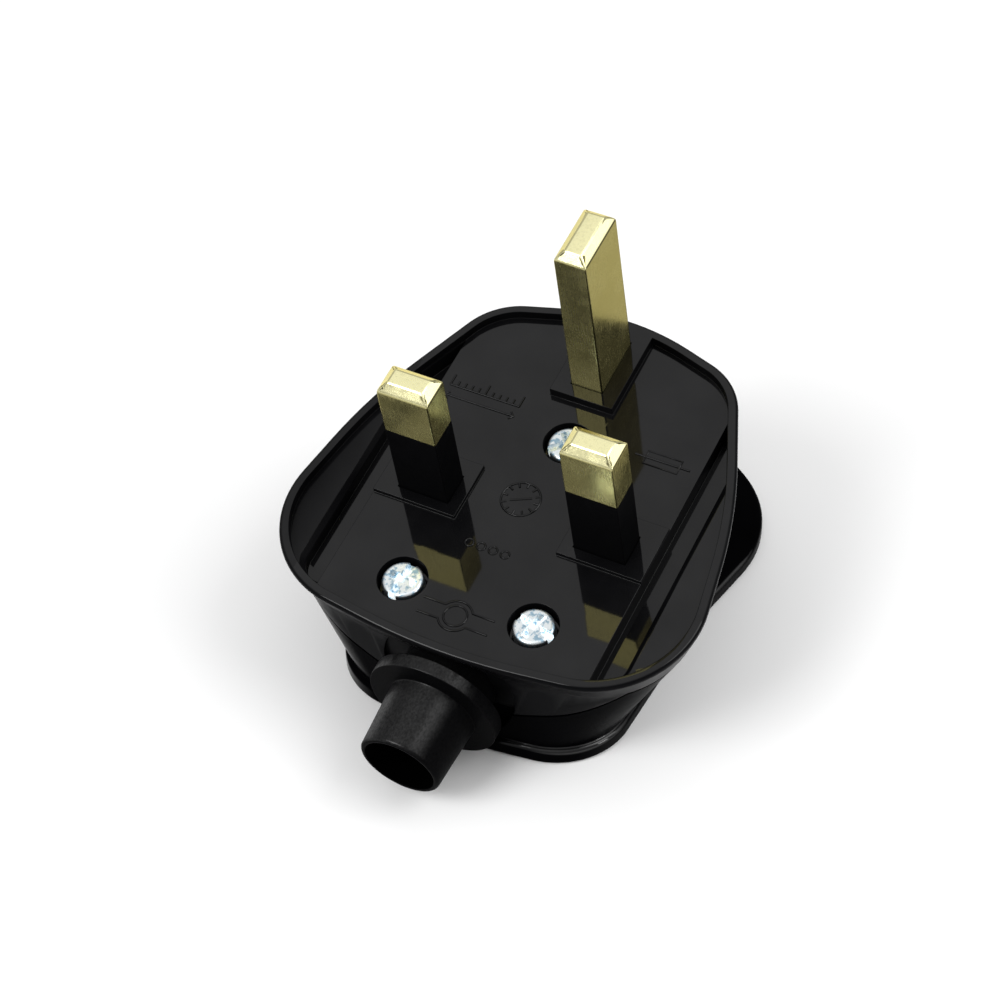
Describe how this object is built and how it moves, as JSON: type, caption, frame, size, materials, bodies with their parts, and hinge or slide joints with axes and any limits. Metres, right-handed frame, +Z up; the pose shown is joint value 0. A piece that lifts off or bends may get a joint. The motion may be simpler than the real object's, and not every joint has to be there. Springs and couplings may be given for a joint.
{
  "type": "three-pin plug",
  "caption": "Rewirable fused mains plug lying on its sloped back: shield-shaped face with brass pins and black sleeves, finger flange, waisted cover and a short cord guard.",
  "frame": {"origin": "middle of the overall box in X and Y, on the table plane under the sloped back cover", "axes": "+X from the line pin towards the neutral pin, +Y from the cord guard towards the earth pin along the back, +Z up from the back; the pins lean 13 degrees from +Z towards -Y"},
  "size_m": [0.0514, 0.0712, 0.0497],
  "materials": {
    "moulding": "gloss",
    "soft_guard": "satin",
    "sleeve": "satin",
    "pin_brass": "brushed",
    "zinc": "plated",
    "clip_brass": "satin",
    "cap_nickel": "plated",
    "fuse_ceramic": "glazed",
    "fibre": "matt",
    "grip_plastic": "satin"
  },
  "bodies": {
    "root": {"base": "moulding", "cover": "moulding", "cord_guard": "soft_guard", "cord_grip_bar": "grip_plastic", "cord_grip_screws": "zinc", "cover_screw": "zinc", "cover_screw_washer": "fibre", "cover_screw_nut": "zinc", "earth_pin": "pin_brass", "neutral_pin": "pin_brass", "line_pin": "pin_brass", "neutral_sleeve": "sleeve", "line_sleeve": "sleeve", "load_terminal": "clip_brass", "terminal_screws": "zinc", "fuse_clip_pin_end": "clip_brass", "fuse_clip_load_end": "clip_brass", "fuse_barrel": "fuse_ceramic", "fuse_cap_pin_end": "cap_nickel", "fuse_cap_load_end": "cap_nickel"}
  },
  "joints": []
}
